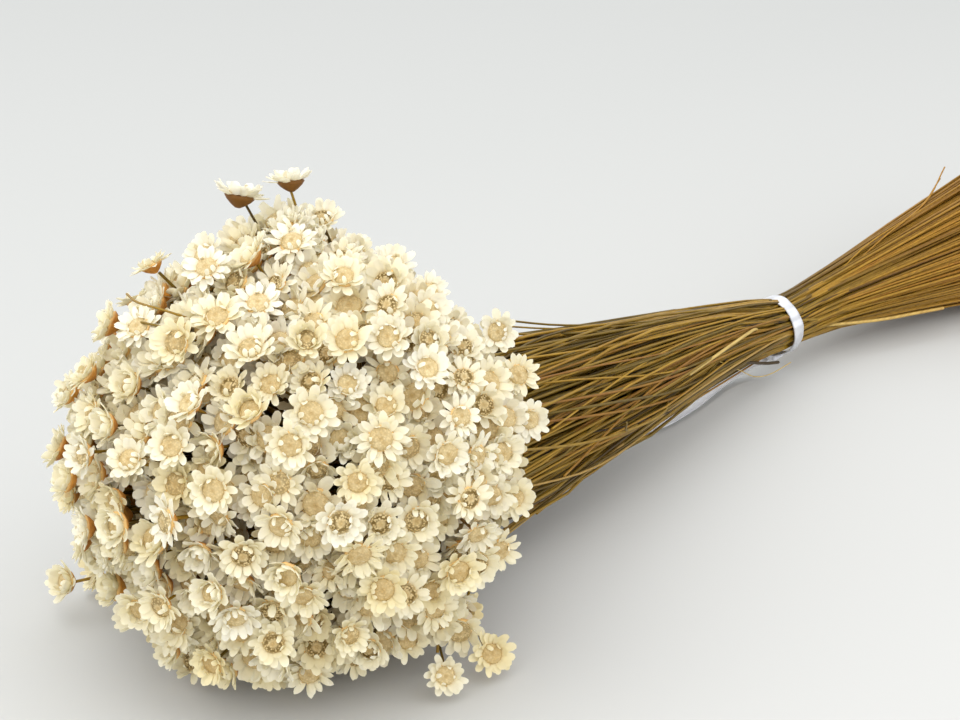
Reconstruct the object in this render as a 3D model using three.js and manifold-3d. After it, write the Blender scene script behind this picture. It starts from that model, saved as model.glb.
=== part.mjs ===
// A tied bunch of dried glixia: papery star flowers on thin straw-like stems, lying on its side.
// The flowers point along -X and the cut ends along +X, +Z is up and the surface is z = 0.
// While it is laid out, the tie stands at x = 0 and y = 0. Lengths are in millimetres.
import * as THREE from 'three';
import { mergeVertices } from 'three/addons/utils/BufferGeometryUtils.js';
import Module from 'manifold-3d';

const wasm = await Module();
wasm.setup();

// The tied waist, where the stems of each spray are pressed into one lock
const WAIST_HEIGHT = 16.5;
const WAIST_FRONT = -13;
const WAIST_BACK = 7;
const LOCK_PITCH = 2.52;
const LOCK_RADIUS = 1.1;
const LOCK_RINGS = 3;
const BUNDLE_RADIUS = LOCK_PITCH * (LOCK_RINGS + 0.5);

// The stems between the waist and the crown: a slim neck, then a cone
const NECK_REACH = 50;
const NECK_HEIGHT = 24.1;
const NECK_RADIUS = 11.9;
const NECK_SPREAD = 0.28;
const CONE_FLARE = 0.112;
const CONE_RISE = 0.074;
const STEM_RADIUS = 0.52;
const SPRAY_SPREAD = 0.72;
const SPRAY_FLARE = 0.0102;
const CONE_CHECK = -120;
const BREAK_LEAD = 27;
const BREAK_FURTHEST = -216;
const BREAK_NEAREST = -184;

// The crown of flowers
const CROWN_CENTRE = new THREE.Vector3(-240, 2, 54);
const CROWN_RADIUS = 53;
const CROWN_EDGE_ANGLE = THREE.MathUtils.degToRad(132);
const CROWN_PLACES = 312;
const REST_HEIGHT = 5.2;
const FACING_REACH = THREE.MathUtils.degToRad(66);
const FACING_LIFT = 1;
const FACING_SCATTER = 0.6;

// A bloom: a star of petals round a raised disc, over a cup that narrows into the stem
const PETALS = 7;
const BLOOM_RADIUS = 5.8;
const NOTCH_RADIUS = 3.7;
const NOTCH_DROP = 0.2;
const DISC_RISE = 1;
const CUP_DEPTH = 2.8;
const PEDICEL_LENGTH = 12;

// Blooms that stand out of the round crown: where each one is, and which way it faces
const OUTLIERS = [
  [[-223, 13, 116], [0.25, 0.25, 0.93]], [[-231, 21, 113], [-0.3, 0.3, 0.9]],
  [[-219, 7, 106], [-0.35, -0.2, 0.9]], [[-251, 33, 100], [-0.4, 0.5, 0.77]],
  [[-280, 37, 61], [-0.7, 0.7, 0.1]], [[-283, 33, 51], [-0.8, 0.55, 0]],
  [[-199, -31, 82], [-0.55, -0.6, 0.55]], [[-199, -38, 73], [-0.5, -0.75, 0.4]],
  [[-201, -42, 63], [-0.45, -0.8, 0.35]], [[-209, -44, 46], [-0.5, -0.8, 0.2]],
  [[-216, -45, 35], [-0.55, -0.8, 0.2]], [[-266, 58, 11], [-0.85, 0.1, 0.35]],
  [[-253, 62, 6], [-0.5, 0.6, 0.4]], [[-253, -8, 6], [-0.7, -0.55, 0.4]],
  [[-236, -19, 6], [-0.65, -0.6, 0.45]], [[-232, -42, 6], [-0.7, -0.5, 0.45]],
  [[-218, -44, 6], [-0.3, -0.8, 0.45]], [[-231, -31, 18], [-0.6, -0.7, 0.35]],
  [[-217, -34, 14], [-0.4, -0.8, 0.4]],
];

// The room that a bloom looks for: how far it may sink and shift, and the gaps that it keeps
const DEPTH_STEP = 0.5;
const DEPTH_STEPS = 22;
const REAR_RAISE = 2;
const SHIFT_STEP = 1.5;
const SHIFT_RINGS = 3;
const SHIFT_WAYS = 8;
const PETAL_GAP = 0.4;
const STACK_GAP = 1.6;
const STACK_SLOPE = 0.5;
const STEM_SPACING = 1.1;
const STEM_MARGIN = 1.5;
const STEM_SAMPLES = 16;
const SPRAY_LIMIT = 11;

// The tail of cut stems behind the tie
const TAIL_HEIGHT = 14;
const TAIL_SWEEP = -0.235;
const TAIL_RISE = 0.088;
const TAIL_FLARE = 0.145;
const TAIL_SPRAY_FLARE = 0.02;
const TAIL_STEMS = 5;
const TAIL_END = 160;
const TAIL_RAGGED = 36;

// The white satin tie, its knot below the waist and its free end on the surface
const TIE_WIDTH = 4.6;
const TIE_THICKNESS = 0.8;
const TIE_GAP = 0.3;
const TIE_SIDES = 24;
const TIE_SHIFT = -9;
const TIE_TURN = 0.1;
const KNOT_SIZE = new THREE.Vector3(6.4, 5.2, 2.2);
const KNOT_SINK = 0.5;
const END_WIDTH = 3.6;
const END_THICKNESS = 0.7;
const END_BEVEL = 0.2;
const END_STEPS = 16;
const END_COURSE = [[-12.95, 0.2, 5.9], [-15.7, 1.7, 4.4], [-19.2, 4.5, 3], [-30, 6, 1.5], [-48, 4.3, 0.84],
  [-58, 3.8, 0.7], [-69, 4, 0.63], [-79, 6.5, 0.62]];

const FLOWER_COLOUR = 0xeae0c4;
const RIBBON_COLOUR = 0xf1f1ef;
const GOLDEN_ANGLE = Math.PI * (3 - Math.sqrt(5));
const TURN = 2 * Math.PI;
const UP = new THREE.Vector3(0, 0, 1);
const TAILWARD = new THREE.Vector3(1, 0, 0);

/** A repeatable stream of numbers from 0 to 1. */
function makeRandom(seed) {
  let state = seed;
  return () => {
    state = (state * 16807) % 2147483647;
    return state / 2147483647;
  };
}

/** A step away from the bundle's middle, turned round it from straight up. */
function aroundBundle(radius, turn) {
  return new THREE.Vector3(0, radius * Math.sin(turn), radius * Math.cos(turn));
}

/** The unit vector at an angle from the bunch's forward direction, turned round it. */
function crownDirection(angle, turn) {
  return aroundBundle(Math.sin(angle), turn).setX(-Math.cos(angle));
}

/** The middle of a lock in the cone on the flower side of the tie. */
function coneMiddle(lock, x) {
  const reach = Math.abs(x) - NECK_REACH;
  return new THREE.Vector3(x, (CROWN_CENTRE.y * x) / CROWN_CENTRE.x, NECK_HEIGHT + CONE_RISE * reach)
    .add(aroundBundle(lock.share * (NECK_RADIUS + CONE_FLARE * reach), lock.turn));
}

/** Where a stem of a lock passes in the cone. */
function conePoint(lock, sector, x) {
  return coneMiddle(lock, x).add(aroundBundle(SPRAY_SPREAD + SPRAY_FLARE * Math.abs(x), sector));
}

/** Where a stem of a lock passes behind the tie, no lower than where it lies on the surface. */
function tailPoint(lock, sector, x) {
  const point = new THREE.Vector3(x, TAIL_SWEEP * x, TAIL_HEIGHT + TAIL_RISE * x)
    .add(aroundBundle(lock.share * (BUNDLE_RADIUS + TAIL_FLARE * x), lock.turn))
    .add(aroundBundle(SPRAY_SPREAD + TAIL_SPRAY_FLARE * x, sector));
  point.z = Math.max(point.z, STEM_RADIUS / 2);
  return point;
}

/** Locks of stems in rings through the tie: one in the middle, then six more in each ring. */
function layOutLocks() {
  const locks = [{ share: 0, turn: 0, blooms: [] }];
  for (let ring = 1; ring <= LOCK_RINGS; ring += 1) {
    for (let i = 0; i < 6 * ring; i += 1) {
      const turn = (TURN * (i + ring / 2)) / (6 * ring);
      locks.push({ share: ring / (LOCK_RINGS + 0.5), turn, blooms: [] });
    }
  }
  return locks;
}

/** Which way a bloom faces: outward, less so behind the crown, and never far down. */
function facing(angle, turn, random) {
  const axis = crownDirection(FACING_REACH * Math.tanh(angle / FACING_REACH), turn);
  axis.z += FACING_LIFT * Math.max(0, -Math.cos(turn) * Math.sin(angle));
  const scatter = new THREE.Vector3(random() - 0.5, random() - 0.5, random() - 0.5);
  return axis.addScaledVector(scatter, FACING_SCATTER).normalize();
}

/** How much of the crown's spiral lies nearer to the front than an angle, from 0 to 1. */
function spreadAt(angle) {
  return (1 - Math.cos(angle / 2) ** 3) / (1 - Math.cos(CROWN_EDGE_ANGLE / 2) ** 3);
}

/** A bloom at an angle and a turn on the crown, given to the nearest lock that isn't full. */
function addToLock(locks, angle, turn, random) {
  const place = aroundBundle(Math.sqrt(spreadAt(angle)), turn);
  const free = locks.filter((lock) => lock.blooms.length < SPRAY_LIMIT);
  const distances = free.map((lock) => aroundBundle(lock.share, lock.turn).distanceTo(place));
  const lock = free[distances.indexOf(Math.min(...distances))];
  const radius = BLOOM_RADIUS * (0.95 + 0.1 * random());
  const bloom = { angle, turn, place, lock, radius, lift: 2 * random() - 0.6 };
  lock.blooms.push(bloom);
  return bloom;
}

/** The blooms that stand out of the crown, and the others in an even spiral over it. */
function layOutBlooms(locks) {
  const random = makeRandom(2027);
  const outliers = OUTLIERS.map(([place, direction]) => {
    const seat = new THREE.Vector3(...place);
    const from = seat.clone().sub(CROWN_CENTRE);
    const bloom = addToLock(locks, from.angleTo(crownDirection(0, 0)), Math.atan2(from.y, from.z), random);
    return Object.assign(bloom, { seat, axis: new THREE.Vector3(...direction).normalize() });
  });
  const crown = Array.from({ length: CROWN_PLACES }, (_, i) => {
    const share = 1 - ((i + 0.5) / CROWN_PLACES) * (1 - Math.cos(CROWN_EDGE_ANGLE / 2) ** 3);
    const angle = 2 * Math.acos(Math.cbrt(share));
    const turn = (i * GOLDEN_ANGLE) % TURN;
    const bloom = addToLock(locks, angle, turn, random);
    const seat = crownDirection(angle, turn).multiplyScalar(CROWN_RADIUS).add(CROWN_CENTRE);
    return Object.assign(bloom, { seat, axis: facing(angle, turn, random) });
  });
  locks.forEach(assignSectors);
  return [...outliers, ...crown];
}

/** Gives each bloom's stem its own sector of its lock, in order round the lock's middle. */
function assignSectors(lock) {
  const middle = aroundBundle(lock.share, lock.turn);
  const turnOf = (bloom) => Math.atan2(bloom.place.y - middle.y, bloom.place.z - middle.z);
  lock.blooms.sort((a, b) => turnOf(a) - turnOf(b));
  const size = TURN / lock.blooms.length;
  const offsets = lock.blooms.map((bloom, i) => turnOf(bloom) - i * size);
  const sines = offsets.reduce((sum, turn) => sum + Math.sin(turn), 0);
  const cosines = offsets.reduce((sum, turn) => sum + Math.cos(turn), 0);
  lock.blooms.forEach((bloom, i) => {
    bloom.sector = Math.atan2(sines, cosines) + i * size;
  });
}

/** The course of a bloom's stem: two points of the cone, the pedicel's foot and the cup. */
function setCourse(bloom) {
  const breakX = THREE.MathUtils.clamp(bloom.centre.x + BREAK_LEAD, BREAK_FURTHEST, BREAK_NEAREST);
  const foot = bloom.centre.clone().addScaledVector(bloom.axis, -PEDICEL_LENGTH);
  foot.z = Math.max(foot.z, 2 * STEM_RADIUS);
  bloom.course = [
    conePoint(bloom.lock, bloom.sector, CONE_CHECK),
    conePoint(bloom.lock, bloom.sector, breakX),
    foot,
    bloom.centre.clone().addScaledVector(bloom.axis, -CUP_DEPTH),
  ];
}

/** Sets a bloom's centre, shifted from its seat and sunk into the crown, and its stem with it. */
function setPlace(bloom, shift, depth) {
  bloom.centre = bloom.seat.clone().add(shift).addScaledVector(bloom.axis, -depth);
  bloom.centre.z = Math.max(bloom.centre.z, REST_HEIGHT);
  setCourse(bloom);
}

/** Height of a point above a bloom along an axis, and its distance sideways from it. */
function offsetFrom(bloom, axis, point) {
  const between = point.clone().sub(bloom.centre);
  const height = between.dot(axis);
  return { height, sideways: Math.sqrt(Math.max(0, between.lengthSq() - height * height)) };
}

/** Whether two blooms keep clear: far enough apart sideways, or one well above the other. */
function bloomsClear(bloom, other) {
  const axis = bloom.axis.clone().add(other.axis).normalize();
  const { height, sideways } = offsetFrom(bloom, axis, other.centre);
  const spare = bloom.radius + other.radius + PETAL_GAP - sideways;
  return spare < 0 || Math.abs(height) > STACK_GAP + STACK_SLOPE * spare;
}

/** Whether a bloom's stem passes clear of another bloom's petals and cup. */
function stemClears(bloom, other) {
  const top = Math.max(other.lift, DISC_RISE) + PETAL_GAP;
  const base = -CUP_DEPTH - PETAL_GAP;
  const point = new THREE.Vector3();
  for (let i = 1; i < bloom.course.length; i += 1) {
    const part = new THREE.Line3(bloom.course[i - 1], bloom.course[i]);
    const middle = part.closestPointToPointParameter(other.centre, true);
    const reach = other.radius + STEM_MARGIN;
    if (part.at(middle, point).distanceTo(other.centre) > reach) continue;
    for (let sample = -STEM_SAMPLES; sample <= STEM_SAMPLES; sample += 1) {
      const along = middle + (sample * reach) / (STEM_SAMPLES * part.distance());
      part.at(THREE.MathUtils.clamp(along, 0, 1), point);
      const { height, sideways } = offsetFrom(other, other.axis, point);
      const width = 2 * STEM_RADIUS + other.radius * Math.min(1, 1 - height / base);
      if (height > base && height < top && sideways < width) return false;
    }
  }
  return true;
}

/** Whether two stems keep a stem's width apart; in the cone they do so by their layout. */
function stemsClear(bloom, other) {
  for (let i = 1; i < bloom.course.length; i += 1) {
    const part = new THREE.Line3(bloom.course[i - 1], bloom.course[i]);
    for (let j = i > 1 ? 1 : 2; j < other.course.length; j += 1) {
      const otherPart = new THREE.Line3(other.course[j - 1], other.course[j]);
      if (part.distanceSqToLine3(otherPart) < STEM_SPACING ** 2) return false;
    }
  }
  return true;
}

/** Whether a bloom and its stem clear every bloom that already has its place. */
function hasRoom(bloom, placed) {
  return placed.every((other) => bloomsClear(bloom, other) && stemClears(bloom, other)
    && stemClears(other, bloom) && stemsClear(bloom, other));
}

/** Tries a bloom at each shift and depth in turn, and tells whether one of them had room. */
function settle(bloom, placed) {
  const side = new THREE.Vector3().crossVectors(bloom.axis, UP).normalize();
  const over = new THREE.Vector3().crossVectors(side, bloom.axis);
  const raise = bloom.angle > TURN / 4 ? REAR_RAISE : 0;
  for (let ring = 0; ring <= SHIFT_RINGS; ring += 1) {
    for (let way = 0; way < (ring ? SHIFT_WAYS : 1); way += 1) {
      const turn = (TURN * way) / SHIFT_WAYS;
      const shift = side.clone().multiplyScalar(SHIFT_STEP * ring * Math.cos(turn))
        .addScaledVector(over, SHIFT_STEP * ring * Math.sin(turn));
      for (let step = 0; step < DEPTH_STEPS; step += 1) {
        setPlace(bloom, shift, DEPTH_STEP * step - raise);
        if (hasRoom(bloom, placed)) return true;
      }
    }
  }
  return false;
}

/** Gives the blooms their places one by one; those that find no room are left out. */
function placeBlooms(blooms) {
  const placed = [];
  blooms.forEach((bloom) => {
    bloom.isMissing = !settle(bloom, placed);
    if (!bloom.isMissing) placed.push(bloom);
  });
}

/** A closed mesh that grows by points, rings of points and triangles. */
class Growth {
  constructor() {
    this.points = [];
    this.triangles = [];
  }

  addPoint(point) {
    this.points.push(point);
    return this.points.length - 1;
  }

  addTriangle(a, b, c) {
    this.triangles.push(a, b, c);
  }

  /** Walls between two rings of as many points each, which run the same way round. */
  bridge(from, to) {
    for (let i = 0; i < from.length; i += 1) {
      const next = (i + 1) % from.length;
      this.addTriangle(from[i], from[next], to[next]);
      this.addTriangle(from[i], to[next], to[i]);
    }
  }

  /** Points round a centre, counterclockwise about a direction from a guide at right angles. */
  addRing(centre, direction, guide, radii, rises) {
    const second = new THREE.Vector3().crossVectors(direction, guide);
    return radii.map((radius, i) => {
      const turn = (TURN * i) / radii.length;
      const point = centre.clone().addScaledVector(direction, rises ? rises[i] : 0)
        .addScaledVector(guide, radius * Math.cos(turn)).addScaledVector(second, radius * Math.sin(turn));
      point.z = Math.max(point.z, 0);
      return this.addPoint(point);
    });
  }

  /** A three-sided stem from a root triangle along a course; gives its last ring and its guide. */
  addStem(root, start, course, firstGuide, lastDirection) {
    const guide = firstGuide.clone();
    let ring = root;
    let previous = start;
    course.forEach((point, i) => {
      const direction = point.clone().sub(previous).normalize();
      if (i + 1 < course.length) direction.add(course[i + 1].clone().sub(point).normalize()).normalize();
      else direction.copy(lastDirection);
      guide.addScaledVector(direction, -guide.dot(direction)).normalize();
      const next = this.addRing(point, direction, guide, [STEM_RADIUS, STEM_RADIUS, STEM_RADIUS]);
      this.bridge(ring, next);
      ring = next;
      previous = point;
    });
    return { ring, guide };
  }

  /** A copy of a ring at another place, walled to it. */
  moveRing(ring, step) {
    const moved = ring.map((point) => this.addPoint(this.points[point].clone().add(step)));
    this.bridge(ring, moved);
    return moved;
  }

  toGeometry() {
    const geometry = new THREE.BufferGeometry();
    const values = this.points.flatMap((point) => point.toArray());
    geometry.setAttribute('position', new THREE.Float32BufferAttribute(values, 3));
    geometry.setIndex(this.triangles);
    geometry.computeVertexNormals();
    return geometry;
  }
}

/** The star of petals, its disc and the cup below it, on the stem's last ring. */
function addBloom(growth, bloom, stemRing, guide) {
  const tips = Array.from({ length: 2 * PETALS }, (_, i) => i % 2 === 0);
  const radii = tips.map((isTip) => (isTip ? bloom.radius : NOTCH_RADIUS));
  const rises = tips.map((isTip) => (isTip ? bloom.lift : -NOTCH_DROP));
  const rim = growth.addRing(bloom.centre, bloom.axis, guide, radii, rises);
  const disc = growth.addPoint(bloom.centre.clone().addScaledVector(bloom.axis, DISC_RISE));
  const corners = stemRing.length;
  const cornerOf = (i) => Math.round(((i + 0.5) * corners) / rim.length) % corners;
  rim.forEach((point, i) => {
    const next = rim[(i + 1) % rim.length];
    const before = cornerOf((i + rim.length - 1) % rim.length);
    const corner = cornerOf(i);
    growth.addTriangle(point, next, disc);
    growth.addTriangle(stemRing[corner], next, point);
    if (before !== corner) growth.addTriangle(stemRing[before], stemRing[corner], point);
  });
}

/** The guide nearest to a given one that lays a stem on one of its three flat sides. */
function flatGuide(guide) {
  const choices = [0, 1, 2].map((side) => aroundBundle(1, (TURN * side) / 3));
  return choices.sort((a, b) => b.dot(guide) - a.dot(guide))[0];
}

/** One spray: a lock through the tie, a stem to each of its blooms and its cut ends behind. */
function makeSpray(lock, random) {
  const growth = new Growth();
  const middle = new THREE.Vector3(0, 0, WAIST_HEIGHT)
    .add(aroundBundle(lock.share * BUNDLE_RADIUS, lock.turn));
  const edges = lock.blooms.map((bloom) => bloom.sector - Math.PI / lock.blooms.length);
  const addEnd = (x) => {
    const centre = middle.clone().setX(x);
    const rim = edges.map((turn) => growth.addPoint(centre.clone().add(aroundBundle(LOCK_RADIUS, turn))));
    return { centre, hub: growth.addPoint(centre), rim };
  };
  const front = addEnd(WAIST_FRONT);
  const back = addEnd(WAIST_BACK);
  const neckCentre = coneMiddle(lock, -NECK_REACH);
  growth.bridge(back.rim, front.rim);
  lock.blooms.forEach((bloom, i) => {
    const next = (i + 1) % lock.blooms.length;
    const inward = aroundBundle(-1, bloom.sector);
    if (bloom.isMissing) {
      growth.addTriangle(front.hub, front.rim[i], front.rim[next]);
    } else {
      const root = [front.hub, front.rim[i], front.rim[next]];
      const step = neckCentre.clone().sub(front.centre).add(aroundBundle(NECK_SPREAD, bloom.sector));
      const neck = growth.moveRing(root, step);
      const stem = growth.addStem(neck, neckCentre, bloom.course.slice(1), inward, bloom.axis);
      addBloom(growth, bloom, stem.ring, stem.guide);
    }
    if ((i * TAIL_STEMS) % lock.blooms.length < TAIL_STEMS) {
      const end = TAIL_END + TAIL_RAGGED * (random() - 0.5);
      const course = [tailPoint(lock, bloom.sector, end)];
      const guide = course[0].z > STEM_RADIUS ? inward : flatGuide(inward);
      const cutRoot = [back.hub, back.rim[next], back.rim[i]];
      const { ring } = growth.addStem(cutRoot, back.centre, course, guide, TAILWARD);
      growth.addTriangle(ring[0], ring[1], ring[2]);
    } else {
      growth.addTriangle(back.hub, back.rim[next], back.rim[i]);
    }
  });
  return growth.toGeometry();
}

/** A geometry as a solid for joining. */
function toSolid(geometry) {
  const bare = geometry.clone();
  bare.deleteAttribute('normal');
  bare.deleteAttribute('uv');
  const merged = mergeVertices(bare, 1e-4);
  return new wasm.Manifold(new wasm.Mesh({
    numProp: 3,
    vertProperties: new Float32Array(merged.attributes.position.array),
    triVerts: new Uint32Array(merged.index.array),
  }));
}

/** A joined solid as a geometry. */
function fromSolid(solid) {
  const mesh = solid.getMesh();
  const geometry = new THREE.BufferGeometry();
  geometry.setAttribute('position', new THREE.BufferAttribute(mesh.vertProperties, 3));
  geometry.setIndex(new THREE.BufferAttribute(mesh.triVerts, 1));
  geometry.computeVertexNormals();
  return geometry;
}

/** The band of ribbon round the waist, slightly askew, with its knot below. */
function makeTieBand() {
  const inner = BUNDLE_RADIUS + LOCK_RADIUS - LOCK_PITCH / 2 + TIE_GAP;
  const outline = new THREE.Shape().absarc(0, 0, inner + TIE_THICKNESS, 0, TURN);
  outline.holes.push(new THREE.Path().absarc(0, 0, inner, 0, TURN));
  const options = { depth: TIE_WIDTH, bevelEnabled: false, curveSegments: TIE_SIDES / 2 };
  const band = new THREE.ExtrudeGeometry(outline, options);
  band.translate(0, 0, TIE_SHIFT - TIE_WIDTH / 2);
  band.rotateY(Math.PI / 2);
  const knot = new THREE.BoxGeometry(KNOT_SIZE.x, KNOT_SIZE.y, KNOT_SIZE.z);
  knot.translate(TIE_SHIFT, 0, -inner - TIE_THICKNESS + KNOT_SINK - KNOT_SIZE.z / 2);
  const tie = fromSolid(toSolid(band).add(toSolid(knot)));
  const skew = new THREE.Matrix4().makeShear(0, 0, TIE_TURN, 0, 0, 0);
  return tie.applyMatrix4(skew).translate(0, 0, WAIST_HEIGHT);
}

/** The ribbon's free end, which drops from the knot and lies along the surface. */
function makeTieEnd() {
  const halfWidth = END_WIDTH / 2;
  const halfThickness = END_THICKNESS / 2;
  const flat = halfWidth - END_BEVEL;
  const edge = halfThickness - END_BEVEL;
  const section = new THREE.Shape([
    [halfWidth, -edge], [halfWidth, edge], [flat, halfThickness], [-flat, halfThickness],
    [-halfWidth, edge], [-halfWidth, -edge], [-flat, -halfThickness], [flat, -halfThickness],
  ].map(([x, y]) => new THREE.Vector2(x, y)));
  const course = new THREE.CatmullRomCurve3(END_COURSE.map((point) => new THREE.Vector3(...point)));
  return new THREE.ExtrudeGeometry(section, { steps: END_STEPS, bevelEnabled: false, extrudePath: course });
}

/** A named mesh of one finish. */
function makePiece(name, geometry, color, roughness) {
  const material = new THREE.MeshStandardMaterial({ color, roughness, metalness: 0 });
  const piece = new THREE.Mesh(geometry, material);
  piece.name = name;
  return piece;
}

const locks = layOutLocks();
placeBlooms(layOutBlooms(locks));
const random = makeRandom(515);
const bunch = new THREE.Group();
locks.forEach((lock, i) => {
  const name = `spray_${String(i + 1).padStart(2, '0')}`;
  bunch.add(makePiece(name, makeSpray(lock, random), FLOWER_COLOUR, 0.8));
});
bunch.add(makePiece('tie_band', makeTieBand(), RIBBON_COLOUR, 0.4));
bunch.add(makePiece('tie_end', makeTieEnd(), RIBBON_COLOUR, 0.4));

// The origin is under the middle of the bunch without the ribbon's free end
const sprays = new THREE.Box3();
bunch.children.filter((piece) => piece.name !== 'tie_end').forEach((piece) => sprays.expandByObject(piece));
bunch.position.set(-(sprays.min.x + sprays.max.x) / 2, -(sprays.min.y + sprays.max.y) / 2, -sprays.min.z);

export default bunch;
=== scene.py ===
"""A tied bunch of dried glixia that lies on a pale table: papery star flowers on straw-like stems."""

import logging
import math
import random
from dataclasses import dataclass, field, replace
from enum import Enum
from itertools import combinations
from typing import Iterable, Sequence

import bmesh
import bpy
from mathutils import Matrix, Vector


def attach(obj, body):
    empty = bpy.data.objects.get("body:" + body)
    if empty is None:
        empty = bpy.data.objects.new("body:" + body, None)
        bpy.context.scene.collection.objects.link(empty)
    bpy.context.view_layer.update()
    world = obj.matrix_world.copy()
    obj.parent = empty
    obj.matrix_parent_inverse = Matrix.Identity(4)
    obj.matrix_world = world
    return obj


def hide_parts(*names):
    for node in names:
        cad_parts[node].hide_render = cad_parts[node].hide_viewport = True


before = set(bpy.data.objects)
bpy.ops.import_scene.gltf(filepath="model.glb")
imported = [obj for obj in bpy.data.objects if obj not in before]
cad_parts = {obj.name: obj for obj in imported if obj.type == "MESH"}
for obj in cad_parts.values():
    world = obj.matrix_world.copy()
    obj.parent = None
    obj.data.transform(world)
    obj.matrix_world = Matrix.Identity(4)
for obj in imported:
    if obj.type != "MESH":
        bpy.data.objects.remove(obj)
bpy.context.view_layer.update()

LOG = logging.getLogger("glixia")
MM = 0.001
TURN = 2 * math.pi
UP = Vector((0, 0, 1))

# What a flower's points know: how far out they are, which petal they are on, and how creamy it is,
# the last with painted light that whitens the flowers near the crown's top and right
NUMBERS = ("reach", "leaf", "tone")
Colour = tuple[float, float, float]
Point = bmesh.types.BMVert
Face = bmesh.types.BMFace
Shape = bmesh.types.BMesh
Material = bpy.types.Material

# The part's layout: where the tie stands in its frame, how high and how long the stems are held
# there, and how far behind it a face can only be a stem's cut end
TIE_PLACE = Vector((58.9355, 4.0478, 0)) * MM
WAIST_HEIGHT = 16.5 * MM
WAIST_LENGTH = 20 * MM
TAIL_START = 100 * MM


def paint(red: int, green: int, blue: int) -> Colour:
    """A colour as the light that a surface gives back.

    Args:
        red: Its red as a screen shows it, from 0 to 255.
        green: Its green.
        blue: Its blue.

    Returns:
        The three shares of light.
    """
    def channel(value: int) -> float:
        """One of the three."""
        share = value / 255
        return share / 12.92 if share <= 0.04045 else ((share + 0.055) / 1.055) ** 2.4
    return channel(red), channel(green), channel(blue)


def direction_at(course: Sequence[Vector], step: int) -> Vector:
    """The way that a course runs at one of its points."""
    return (course[min(step + 1, len(course) - 1)] - course[max(step - 1, 0)]).normalized()


def frame_across(direction: Vector, guide: Vector) -> tuple[Vector, Vector]:
    """Two directions at right angles to a given one, the first as near as can be to a guide.

    Args:
        direction: The way that a stem or a ribbon runs.
        guide: The way that its first side should look.

    Returns:
        The first and the second direction across.
    """
    first = (guide - direction * guide.dot(direction)).normalized()
    return first, direction.cross(first)


def joined(points: Iterable[Point], links: str) -> list:
    """The faces or edges that some points belong to, each once and always in the same order.

    Args:
        points: The points of a mesh that is being built.
        links: Either "link_faces" or "link_edges".

    Returns:
        The faces or edges.
    """
    return list(dict.fromkeys(item for point in points for item in getattr(point, links)))


def set_smooth(faces: Iterable[Face]) -> None:
    """Gives some faces smooth shading."""
    for face in faces:
        face.smooth = True


def new_shape(numbers: Sequence[str] = ()) -> Shape:
    """Starts a shape.

    Args:
        numbers: The names of the numbers that its points keep.

    Returns:
        The shape, still empty.
    """
    shape = bmesh.new()
    for name in numbers:
        shape.verts.layers.float.new(name)
    return shape


def add_copy(shape: Shape, mesh: bpy.types.Mesh) -> list[Point]:
    """Adds a copy of a mesh to a shape.

    Args:
        shape: The shape so far.
        mesh: The mesh.

    Returns:
        The points that this adds.
    """
    known = len(shape.verts)
    shape.from_mesh(mesh)
    shape.verts.ensure_lookup_table()
    return shape.verts[known:]


def add_object(name: str, data: bpy.types.ID) -> bpy.types.Object:
    """Puts a mesh, a lamp or a camera into the scene.

    Args:
        name: The object's name.
        data: What it shows.

    Returns:
        The object.
    """
    made = bpy.data.objects.new(name, data)
    bpy.context.collection.objects.link(made)
    return made


def finish_mesh(shape: Shape, name: str, finishes: Sequence[Material] = ()) -> bpy.types.Mesh:
    """Turns a shape that is complete into a mesh, and frees the shape.

    Args:
        shape: The shape.
        name: The mesh's name.
        finishes: Its materials, in the order of the faces' numbers.

    Returns:
        The mesh.
    """
    mesh = bpy.data.meshes.new(name)
    shape.to_mesh(mesh)
    shape.free()
    for finish in finishes:
        mesh.materials.append(finish)
    return mesh


def finish_piece(shape: Shape, name: str, finishes: Sequence[Material],
                 node: str | None = None) -> bpy.types.Object:
    """Turns a shape that is complete into a piece of the part.

    Args:
        shape: The shape.
        name: The piece's name.
        finishes: Its materials.
        node: The CAD node that it replaces, or None if it only adds to the part.

    Returns:
        The piece, which rides on the part's one body.
    """
    piece = add_object(name, finish_mesh(shape, name, finishes))
    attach(piece, "root")
    if node:
        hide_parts(node)
    return piece


# Shader nodes


class Value:
    """A number that a node gives, so that arithmetic on it adds Math nodes."""

    def __init__(self, shader: "Shader", socket: bpy.types.NodeSocket) -> None:
        """Keeps the socket and the shader that it belongs to."""
        self.shader = shader
        self.socket = socket

    def _math(self, operation: str, first: object, second: object) -> "Value":
        """A Math node on two values or numbers."""
        return self.shader.node("ShaderNodeMath", {"operation": operation}, {0: first, 1: second})

    def __add__(self, other: object) -> "Value":
        """This value plus another."""
        return self._math("ADD", self, other)

    def __rsub__(self, other: object) -> "Value":
        """A number less this value."""
        return self._math("SUBTRACT", other, self)

    def __mul__(self, other: object) -> "Value":
        """This value times another."""
        return self._math("MULTIPLY", self, other)


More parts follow.
